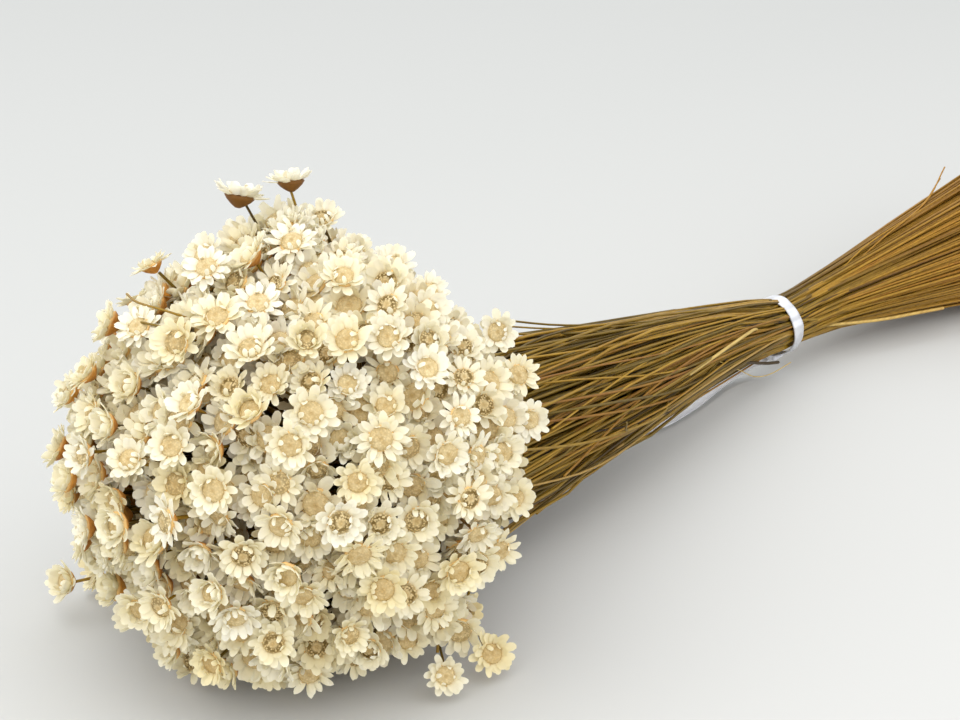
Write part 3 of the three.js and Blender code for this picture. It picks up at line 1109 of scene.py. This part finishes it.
def smooth_course(points: Sequence[Vector], steps: int) -> list[Vector]:
    """Evenly spread points on a smooth line through a few given ones.

    Args:
        points: The points that the line passes.
        steps: How many stretches to cut it into.

    Returns:
        The points of the smooth line.
    """
    ends = [points[0] * 2 - points[1], *points, points[-1] * 2 - points[-2]]
    dense: list[Vector] = []
    for before, start, end, after in zip(ends, ends[1:], ends[2:], ends[3:]):
        span = (end - start).length
        out = (end - before) * (span / max(1e-9, (end - before).length))
        into = (after - start) * (span / max(1e-9, (after - start).length))
        for i in range(CURVE_STEPS):
            t = i / CURVE_STEPS
            dense.append(start * (2 * t ** 3 - 3 * t ** 2 + 1) + out * (t ** 3 - 2 * t ** 2 + t)
                         + end * (3 * t ** 2 - 2 * t ** 3) + into * (t ** 3 - t ** 2))
    dense.append(points[-1].copy())
    lengths = [(b - a).length for a, b in zip(dense, dense[1:])]
    total, passed, result, i = sum(lengths), 0.0, [], 0
    for step in range(steps + 1):
        goal = total * step / steps
        while i < len(lengths) - 1 and passed + lengths[i] < goal:
            passed += lengths[i]
            i += 1
        result.append(dense[i].lerp(dense[i + 1], min(1, (goal - passed) / max(1e-9, lengths[i]))))
    return result


@dataclass
class TubeMaker:
    """Bends a straight many-sided rod along a stem's course."""

    sides: int = 6
    steps: int = 16
    sharp: float = 1.2
    rod: bpy.types.Mesh | None = None

    def make_rod(self) -> None:
        """The straight rod: a closed tube along Z from 0 to 1, cut into steps."""
        shape = new_shape(["tone"])
        bmesh.ops.create_cone(shape, cap_ends=True, segments=self.sides, radius1=1, radius2=1, depth=1)
        bmesh.ops.translate(shape, vec=(0, 0, 0.5), verts=shape.verts)
        upright = [edge for edge in shape.edges if abs(edge.verts[0].co.z - edge.verts[1].co.z) > 0.5]
        bmesh.ops.subdivide_edges(shape, edges=upright, cuts=self.steps - 1)
        for face in shape.faces:
            face.smooth = abs(face.normal.z) < 0.5
        for edge in shape.edges:
            edge.smooth = edge.calc_face_angle(0) < self.sharp
        self.rod = finish_mesh(shape, "rod")

    def add(self, shape: Shape, strand: Strand) -> None:
        """Adds one bent rod.

        Args:
            shape: The mesh to add it to, with its number "tone".
            strand: The stem's course, thickness and shade.
        """
        course = smooth_course(strand.points, self.steps)
        sides = self._sides(course)
        tone = shape.verts.layers.float["tone"]
        for point in add_copy(shape, self.rod):
            step = round(point.co.z * self.steps)
            first, second = sides[step]
            spot = course[step] + (first * point.co.x + second * point.co.y) * strand.radius
            spot.z = max(spot.z, 0)
            point.co = spot
            point[tone] = strand.tone

    @staticmethod
    def _sides(course: Sequence[Vector]) -> list[tuple[Vector, Vector]]:
        """The directions across a course, carried along without a twist.

        Args:
            course: The course's points.

        Returns:
            Two directions for each point.
        """
        guide, result = UP.copy(), []
        for i in range(len(course)):
            guide, second = frame_across(direction_at(course, i), guide)
            result.append((guide, second))
        return result


@dataclass
class SprayStalks:
    """The stems of one spray, each from its flower through the tie to its cut end."""

    plan: SprayPlan
    tubes: TubeMaker
    material: Material
    thinnest: float = 0.3 * MM
    thickest: float = 0.47 * MM
    cone_sway: float = 1.3 * MM
    wild_share: float = 0.4
    wild_sway: float = 5.2 * MM
    widest_sway: float = 1.35
    tail_spread: float = 1.6 * MM
    tail_cut: tuple[float, float] = (-24 * MM, 6 * MM)
    extra: int = 2
    near: float = 0.01 * MM

    def build(self) -> bpy.types.Object:
        """All stems of the spray as one piece.

        Returns:
            The piece.
        """
        chance = random.Random(self.plan.node + "_stalks")
        shape = new_shape(["tone"])
        for bloom in self.plan.flowers():
            self.tubes.add(shape, self._strand(bloom.course, chance))
        for _ in range(self.extra):
            self.tubes.add(shape, self._strand(self._stray_course(chance), chance))
        node = self.plan.node
        return finish_piece(shape, f"{node}_stems", [self.material], node)

    def _stray_course(self, chance: random.Random) -> list[Vector]:
        """The course of a stem between two of the spray's flowers, which ends hidden below them.

        Args:
            chance: The spray's stream of chance.

        Returns:
            Its points from the lock to its tip.
        """
        one, two = chance.choice(self.plan.blooms), chance.choice(self.plan.blooms)
        share = chance.uniform(0.25, 0.75)
        course = [a.lerp(b, share) for a, b in zip(one.course, two.course)]
        course[-1] = course[-2].lerp(course[-1], chance.uniform(-0.3, 0.4))
        return course

    def _strand(self, course: Sequence[Vector], chance: random.Random) -> Strand:
        """A whole stem for a flower's course.

        Args:
            course: Its points from the lock to the cup.
            chance: The spray's stream of chance.

        Returns:
            The stem from its cut end to the flower.
        """
        root, neck, crown_break, foot, cup = course
        cut = min(self.plan.tails, key=lambda points: round((points[0].yz - root.yz).length / self.near))[1]
        apart = Vector((0, chance.gauss(0, 1), chance.gauss(0, 1))) * self.tail_spread
        shorter = Vector((chance.uniform(*self.tail_cut), 0, 0))
        is_wild = chance.random() < self.wild_share
        reach = self.wild_sway if is_wild else self.cone_sway
        sway, turn = (Vector((0, chance.gauss(0, 1), chance.gauss(0, 1))) for _ in range(2))
        sway, turn = (side * (reach / max(1, side.length / self.widest_sway)) for side in (sway, turn))
        back = root + Vector((WAIST_LENGTH, 0, 0))
        points = [cut + apart * 1.3 + shorter, back.lerp(cut, 0.5) + apart * 0.9, back, root,
                  neck + sway * 0.15, neck.lerp(crown_break, 0.4) + sway * 0.6,
                  neck.lerp(crown_break, 0.75) + turn * 0.7, crown_break + turn * 0.4, foot, cup]
        radius = chance.uniform(self.thinnest, self.thickest)
        for point in points:
            point.z = max(point.z, radius)
        return Strand(points, radius, chance.random())


@dataclass(frozen=True)
class BundleShape:
    """The outer shape of the tied stems, in millimetres from the tie's place on the table."""

    waist_height: float = 16.5
    waist_radius: float = 9.2
    neck: float = -50
    neck_height: float = 24.1
    neck_radius: float = 11.4
    cone_rise: float = 0.074
    cone_flare: float = 0.106

    def spot(self, along: float, turn: float, clearance: float) -> Vector:
        """A point over the stems on the flower side of the tie.

        Args:
            along: How far along the bunch, negative towards the flowers.
            turn: The angle round the bundle from straight up.
            clearance: How far above the outermost stems.

        Returns:
            The point in the part's frame.
        """
        if along > self.neck:
            share = along / self.neck
            height = self.waist_height + (self.neck_height - self.waist_height) * share
            radius = self.waist_radius + (self.neck_radius - self.waist_radius) * share
        else:
            height = self.neck_height + self.cone_rise * (self.neck - along)
            radius = self.neck_radius + self.cone_flare * (self.neck - along)
        radius += clearance
        point = Vector((along, radius * math.sin(turn), height + radius * math.cos(turn)))
        return TIE_PLACE + point * MM


# Loose stems that leave the bundle, each from where it is held to its tip, with its radius
LOOSE_STEMS: dict[str, tuple[float, tuple[tuple[float, float, float], ...]]] = {
    "upper_long": (0.33, ((-40, 0, 33), (-68, -3.5, 39), (-102, -0.8, 46.5), (-119, 9, 49), (-142, 12, 57))),
    "upper_short": (0.28, ((-40, 1, 33), (-64, -4, 38), (-108, -1, 47.5), (-121, 9, 48.5), (-141, 11, 55))),
    "upper_low": (0.33, ((-45, 0, 34), (-75, -4, 40.5), (-115, -2.5, 48.5), (-143, 10.5, 53.5))),
    "below": (0.35, ((-60, -11, 25), (-84, -15, 22.5), (-108, -17, 21.5), (-122, -17.3, 20),
                     (-130, -15, 15.5))),
    "broken_pale": (0.5, ((-36, -8.5, 26), (-41.5, -10.5, 28), (-65, -13.5, 29), (-87, -16, 29.3))),
    "dark_stub": (0.55, ((-60, -11, 24), (-40, -9.5, 16), (-26, -7.5, 10.5), (-16, -6, 7.2))),
    "fibre": (0.16, ((-64, -12.5, 25), (-46, -10, 15), (-35, -8.5, 9), (-24, -8, 6.2), (-12, -8.5, 6.5))),
    "tie_stub": (0.45, ((-17, -6.5, 20), (-9, -7.4, 19.6), (-4, -8.7, 19.4), (0.7, -10.3, 18.4))),
    "level": (0.4, ((-92, -12, 24), (-106, -20, 25), (-130, -24, 29), (-156, -26, 35), (-188, -27, 45),
                    (-205, -26, 50))),
    "level_fork": (0.3, ((-120, -20, 26), (-131, -24.2, 29.5), (-139, -29, 34), (-146, -34, 40))),
    "tail_high": (0.3, ((20, -3, 22), (46, -9, 34.5), (76, -10, 40.5), (100, -5, 47))),
    "tail_mid": (0.28, ((14, -2, 20), (38, -6, 32.5), (70, -10, 39), (95, -6, 44))),
    "tail_cut": (0.55, ((8, -7, 13), (29, -18.5, 11.5), (45, -25.5, 11), (56, -30, 10.6))),
    "low_bare": (0.4, ((-200, -14, 38), (-220, -30, 27), (-224, -33, 17), (-228, -36, 8))),
    "left_bare": (0.3, ((-240, 2, 80), (-258, 5, 93), (-267, 10, 98.5), (-265, 22, 97), (-257, 35.5, 93.5))),
    "left_low_bare": (0.3, ((-243, 2, 76), (-262, 2, 90), (-270, 6, 96), (-270, 18, 95), (-264, 32, 91))),
}


@dataclass
class LooseStems:
    """Stems that stray from the bundle, and others that cross over it on their way to the crown."""

    tubes: TubeMaker
    material: Material
    crossing: int = 60
    starts: tuple[float, float] = (-46, -22)
    ends: tuple[float, float] = (-196, -128)
    widest_turn: float = 0.75
    seed: int = 404

    def build(self) -> bpy.types.Object:
        """All loose stems as one piece.

        Returns:
            The piece.
        """
        chance = random.Random(self.seed)
        shape = new_shape(["tone"])
        for name, (radius, course) in LOOSE_STEMS.items():
            points = [TIE_PLACE + Vector(point) * MM for point in course]
            tone = 1.3 if "pale" in name or "cut" in name or name == "fibre" else chance.uniform(0.3, 1)
            self.tubes.add(shape, Strand(points, radius * MM, 0 if "dark" in name else tone))
        for _ in range(self.crossing):
            self.tubes.add(shape, self._crossing_stem(chance))
        return finish_piece(shape, "loose_stems", [self.material])

    def _crossing_stem(self, chance: random.Random) -> Strand:
        """A stem that comes up between the others and crosses over them.

        Args:
            chance: The stream of chance.

        Returns:
            The stem.
        """
        bundle = BundleShape()
        turn = chance.uniform(0, TURN)
        over = chance.uniform(0.2, self.widest_turn) * chance.choice((-1, 1))
        start, end = chance.uniform(*self.starts), chance.uniform(*self.ends)
        middle = (start + end) / 2
        points = [bundle.spot(-6, turn, -2), bundle.spot(start, turn, -0.3),
                  bundle.spot(middle, turn + over * 0.3, 0.7),
                  bundle.spot(end, turn + over, chance.uniform(0.5, 2.5))]
        if end > -160:
            points.append(bundle.spot(end - 40, turn + over * 1.5, -3))
        return Strand(points, chance.uniform(0.28, 0.42) * MM, chance.choice((0.2, 0.6, 0.8, 1, 1.25)))


# The tie


@dataclass
class TieBand:
    """The satin ribbon round the waist and its knot below."""

    material: Material
    radius: float = 9.65 * MM
    width: float = 5.3 * MM
    thickness: float = 0.5 * MM
    shift: float = -9 * MM
    skew: float = 0.1
    steps: int = 72
    knot_size: tuple[float, float, float] = (6.2 * MM, 5 * MM, 2.2 * MM)
    knot_drop: float = 10.4 * MM
    knot_edge: float = 0.9 * MM

    def build(self) -> bpy.types.Object:
        """The band and its knot as one piece.

        Returns:
            The piece.
        """
        shape = new_shape()
        self._add_band(shape)
        self._add_knot(shape)
        for point in shape.verts:
            point.co.x += self.skew * point.co.y
            point.co += TIE_PLACE + Vector((0, 0, WAIST_HEIGHT))
        set_smooth(shape.faces)
        return finish_piece(shape, "tie_band_satin", [self.material], "tie_band")

    def _add_band(self, shape: Shape) -> None:
        """A flat section spun round the waist, then creased a little.

        Args:
            shape: The mesh to add it to.
        """
        made = bmesh.ops.create_grid(shape, x_segments=6, y_segments=1, size=0.5)["verts"]
        for point in made:
            across = point.co.x
            bulge = 0.35 * self.thickness * (1 - (2 * across) ** 2)
            point.co = Vector((self.shift + across * self.width, 0,
                               self.radius + point.co.y * self.thickness + bulge))
        faces = joined(made, "link_faces")
        bmesh.ops.spin(shape, geom=faces + made, cent=(0, 0, 0), axis=(1, 0, 0), angle=TURN,
                       steps=self.steps, use_merge=True, use_duplicate=False)
        bmesh.ops.delete(shape, geom=faces, context="FACES_ONLY")
        bmesh.ops.remove_doubles(shape, verts=shape.verts, dist=0.01 * MM)
        for point in shape.verts:
            turn = math.atan2(point.co.y, point.co.z)
            across = (point.co.x - self.shift) / self.width
            crease = 0.13 * math.sin(5 * turn + 3 * across) + 0.06 * math.sin(11 * turn - 6 * across)
            out = Vector((0, point.co.y, point.co.z)).normalized()
            point.co += out * crease * MM
            point.co.x += 0.35 * MM * math.sin(3 * turn + 1)
        bmesh.ops.recalc_face_normals(shape, faces=shape.faces)

    def _add_knot(self, shape: Shape) -> None:
        """A small rounded knot under the band.

        Args:
            shape: The mesh to add it to.
        """
        made = bmesh.ops.create_cube(shape, size=1)["verts"]
        bmesh.ops.scale(shape, vec=self.knot_size, verts=made)
        bmesh.ops.translate(shape, vec=(self.shift, 0, -self.knot_drop), verts=made)
        bmesh.ops.bevel(shape, geom=joined(made, "link_edges"), offset=self.knot_edge, affect="EDGES",
                        segments=3, profile=0.5, material=-1)


# The ribbon end's course on the table, in millimetres from the tie's place
TIE_END_COURSE = (
    (-12.95, 0.2, 5.9), (-15.7, 1.7, 4.4), (-19.2, 4.5, 3), (-30, 6, 1.5), (-48, 4.3, 0.84),
    (-58, 3.8, 0.7), (-69, 4, 0.63), (-79, 6.5, 0.62))


@dataclass
class TieEnd:
    """The ribbon's free end, which lies along the table towards the flowers."""

    material: Material
    width: float = 3.3 * MM
    thickness: float = 0.5 * MM
    steps: int = 36

    def build(self) -> bpy.types.Object:
        """The free end as one piece.

        Returns:
            The piece.
        """
        route = smooth_course([TIE_PLACE + Vector(point) * MM for point in TIE_END_COURSE], self.steps)
        shape = new_shape()
        ring = self._section(shape, route, 0)
        start = shape.faces.new(ring)
        for step in range(1, len(route)):
            fresh = self._section(shape, route, step)
            edges = [shape.edges.get((a, b)) or shape.edges.new((a, b))
                     for loop in (ring, fresh) for a, b in zip(loop, loop[1:] + loop[:1])]
            bmesh.ops.bridge_loops(shape, edges=edges)
            ring = fresh
        shape.faces.new(ring)
        start.smooth = False
        bmesh.ops.recalc_face_normals(shape, faces=shape.faces)
        for face in shape.faces:
            face.smooth = len(face.verts) == 4
        piece = finish_piece(shape, "tie_end_satin", [self.material], "tie_end")
        length = sum((b - a).length for a, b in zip(route, route[1:]))
        return piece

    def _section(self, shape: Shape, route: Sequence[Vector], step: int) -> list[Point]:
        """Adds the points of the ribbon's flat section at one step of its route.

        Args:
            shape: The ribbon so far.
            route: The points that it follows.
            step: Which of them this is.

        Returns:
            The section's points in order.
        """
        up, side = frame_across(direction_at(route, step), UP)
        half, low = self.width / 2, self.thickness / 2
        outline = ((-half, 0), (-half * 0.9, low), (0, low * 1.2), (half * 0.9, low),
                   (half, 0), (half * 0.9, -low), (0, -low), (-half * 0.9, -low))
        points = []
        for across, rise in outline:
            spot = route[step] + side * across + up * rise
            spot.z = max(spot.z, 0.02 * MM)
            points.append(shape.verts.new(spot))
        return points


# The studio


@dataclass
class Studio:
    """The table, the soft light and the camera."""

    camera_place: Vector = field(default_factory=lambda: TIE_PLACE + Vector((-532.8, -296.2, 256.0)) * MM)
    pitch: float = math.radians(23)
    heading: float = math.radians(39)
    lens: float = 71.25
    sensor: float = 36
    sky: float = 1.12
    key: float = 5.4
    fill: float = 4.6
    lamp_size: float = 1.5
    lamp_target: Vector = field(default_factory=lambda: Vector((-0.1, 0, 0)))
    table_size: float = 6

    def build(self) -> None:
        """Sets up the table, the lights, the camera and plain colour handling."""
        bpy.context.scene.view_settings.view_transform = "Standard"
        self._add_table()
        self._add_lights()
        self._add_camera()

    def _add_table(self) -> None:
        """A wide pale table."""
        shape = new_shape()
        bmesh.ops.create_grid(shape, x_segments=1, y_segments=1, size=self.table_size)
        bmesh.ops.translate(shape, vec=(0, 0, -0.1 * MM), verts=shape.verts)
        add_object("table", finish_mesh(shape, "table", [TableTop().material()]))

    def _add_lights(self) -> None:
        """A pale sky and two wide lamps, the stronger one at the left."""
        world = bpy.context.scene.world or bpy.data.worlds.new("sky")
        bpy.context.scene.world = world
        world.use_nodes = True
        background = world.node_tree.nodes["Background"]
        background.inputs["Color"].default_value = (0.98, 0.99, 1, 1)
        background.inputs["Strength"].default_value = self.sky
        self._add_lamp("key_light", Vector((-0.7, 0.12, 0.95)), self.key)
        self._add_lamp("fill_light", Vector((-0.36, -0.75, 0.8)), self.fill)

    def _add_lamp(self, name: str, place: Vector, energy: float) -> None:
        """One wide round lamp that shines on the bunch.

        Args:
            name: The lamp's name.
            place: Where it hangs, in metres.
            energy: Its strength in watts.
        """
        lamp = bpy.data.lights.new(name, "AREA")
        lamp.shape = "DISK"
        lamp.size = self.lamp_size
        lamp.energy = energy
        lamp.color = (1, 0.99, 0.97)
        holder = add_object(name, lamp)
        holder.location = place
        holder.rotation_euler = (self.lamp_target - place).to_track_quat("-Z", "Y").to_euler()

    def _add_camera(self) -> None:
        """The camera at the photograph's place and angle."""
        forward = Vector((math.cos(self.heading) * math.cos(self.pitch),
                          math.sin(self.heading) * math.cos(self.pitch), -math.sin(self.pitch)))
        camera = bpy.data.cameras.new("camera")
        camera.lens = self.lens
        camera.sensor_width = self.sensor
        camera.clip_start = 0.01
        holder = add_object("camera", camera)
        holder.location = self.camera_place
        holder.rotation_euler = forward.to_track_quat("-Z", "Y").to_euler()
        bpy.context.scene.camera = holder


def main() -> None:
    """Builds the bunch, its tie and the studio, and reports each piece."""
    logging.basicConfig(level=logging.INFO, format="%(name)s %(message)s")
    Studio().build()
    flower_finishes = [PetalPaper().material(), FloretDisc().material(), CupScales().material()]
    straw, satin = StrawStem().material(), SatinRibbon().material()
    pieces = [TieEnd(satin).build(), TieBand(satin).build()]
    book, tubes, reader = FormBook(), TubeMaker(), SprayReader()
    book.build()
    tubes.make_rod()
    plans = [reader.read(node) for node in sorted(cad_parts) if node.startswith("spray_")]
    FillerPlanner().add_to(plans)
    flowers = sum(len(plan.flowers()) for plan in plans)
    pieces.append(LooseStems(tubes, straw).build())
    for plan in plans:
        pieces.append(SprayBlooms(plan, book, flower_finishes).build())
        pieces.append(SprayStalks(plan, tubes, straw).build())
    book.clear()
    bpy.data.meshes.remove(tubes.rod)
    for piece in pieces:
        LOG.info("%s: %d faces", piece.name, len(piece.data.polygons))
    total = sum(len(face.vertices) - 2 for piece in pieces for face in piece.data.polygons)
    LOG.info("%d flowers and %d triangles", flowers, total)


if __name__ == "__main__":
    main()
